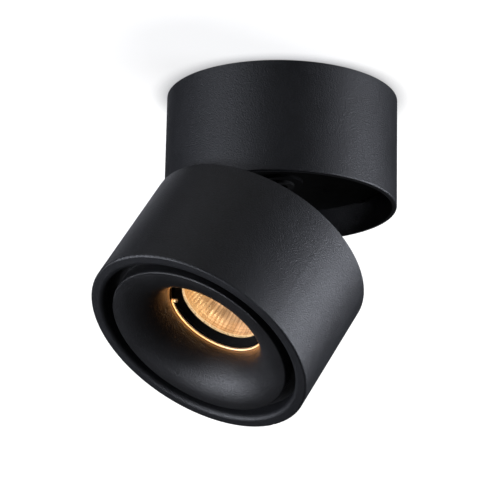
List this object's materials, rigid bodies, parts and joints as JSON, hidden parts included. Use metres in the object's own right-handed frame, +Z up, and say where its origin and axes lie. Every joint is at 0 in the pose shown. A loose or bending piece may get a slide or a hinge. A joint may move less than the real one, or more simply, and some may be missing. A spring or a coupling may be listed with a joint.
{
  "type": "surface mounted ceiling spotlight",
  "caption": "Ceiling spotlight with a drum base and a drum head that turns and tilts on a hidden hinge, the lamp set deep behind a trumpet shaped baffle.",
  "frame": {"origin": "centre of the ceiling face of the base, where it meets the ceiling", "axes": "+Z up into the ceiling along the swivel axis; the head is stored tilted towards -Y, and the tilt hinge runs along X"},
  "size_m": [0.1, 0.1339, 0.1439],
  "materials": {
    "drum_paint": "fine textured matt black powder coat",
    "baffle_paint": "fine textured matt black powder coat",
    "black_steel": "matt black coated steel",
    "zinc_steel": "zinc plated",
    "spring_steel": "polished spring steel",
    "aluminium": "as cast",
    "reflector_metal": "bright metallised facets",
    "clear_glass": "clear polished",
    "black_plastic": "matt moulded",
    "white_plastic": "satin moulded",
    "circuit_board": "solder mask",
    "rubber_seal": "matt",
    "brass_metal": "turned",
    "light_phosphor": "glowing phosphor"
  },
  "bodies": {
    "base": {"base_housing": "drum_paint", "mounting_plate": "zinc_steel", "lock_screw": "drum_paint", "cable_grommet": "rubber_seal", "terminal_block": "white_plastic", "terminal_screws": "brass_metal", "terminal_mount_screws": "zinc_steel", "cable_clamp": "zinc_steel", "clamp_screws": "zinc_steel", "earth_tag": "zinc_steel", "earth_screw": "brass_metal", "driver_case": "white_plastic", "driver_cover": "white_plastic", "driver_screws": "zinc_steel", "driver_board": "circuit_board", "driver_components": "black_plastic", "pivot_bush": "brass_metal", "slide_washer": "white_plastic"},
    "swivel": {"rotor_plate": "black_steel", "pivot_tube": "black_steel", "wave_washer": "black_steel", "pivot_nut": "black_steel", "pivot_grommet": "rubber_seal", "hinge_bracket_right": "black_steel", "hinge_bracket_left": "black_steel", "bracket_screws": "black_steel", "hinge_pin": "zinc_steel", "hinge_clip": "spring_steel", "hinge_washers": "white_plastic"},
    "head": {"hinge_arm_right": "black_steel", "hinge_arm_left": "black_steel", "hinge_sleeve": "black_steel", "arm_screws": "black_steel", "head_shell": "drum_paint", "head_back_panel": "black_steel", "panel_screws": "black_steel", "head_grommet": "rubber_seal", "heat_sink": "aluminium", "baffle_screws": "zinc_steel", "thermal_pad": "rubber_seal", "led_chip": "aluminium", "led_emitter": "light_phosphor", "chip_holder": "white_plastic", "holder_screws": "zinc_steel", "baffle": "baffle_paint", "lamp_cup": "baffle_paint", "reflector": "reflector_metal", "cover_glass": "clear_glass", "glass_seal": "rubber_seal", "lens_ring": "black_plastic", "retaining_clip": "spring_steel"}
  },
  "joints": [
    {"name": "swivel", "type": "hinge", "parent": "base", "child": "swivel", "pos_m": [0, 0, -0.0355], "axis": [0, 0, 1], "range_deg": [-175, 175]},
    {"name": "tilt", "type": "hinge", "parent": "swivel", "child": "head", "pos_m": [0, -0.04036, -0.04034], "axis": [-1, 0, 0], "range_deg": [-33.7, 51.3]}
  ]
}
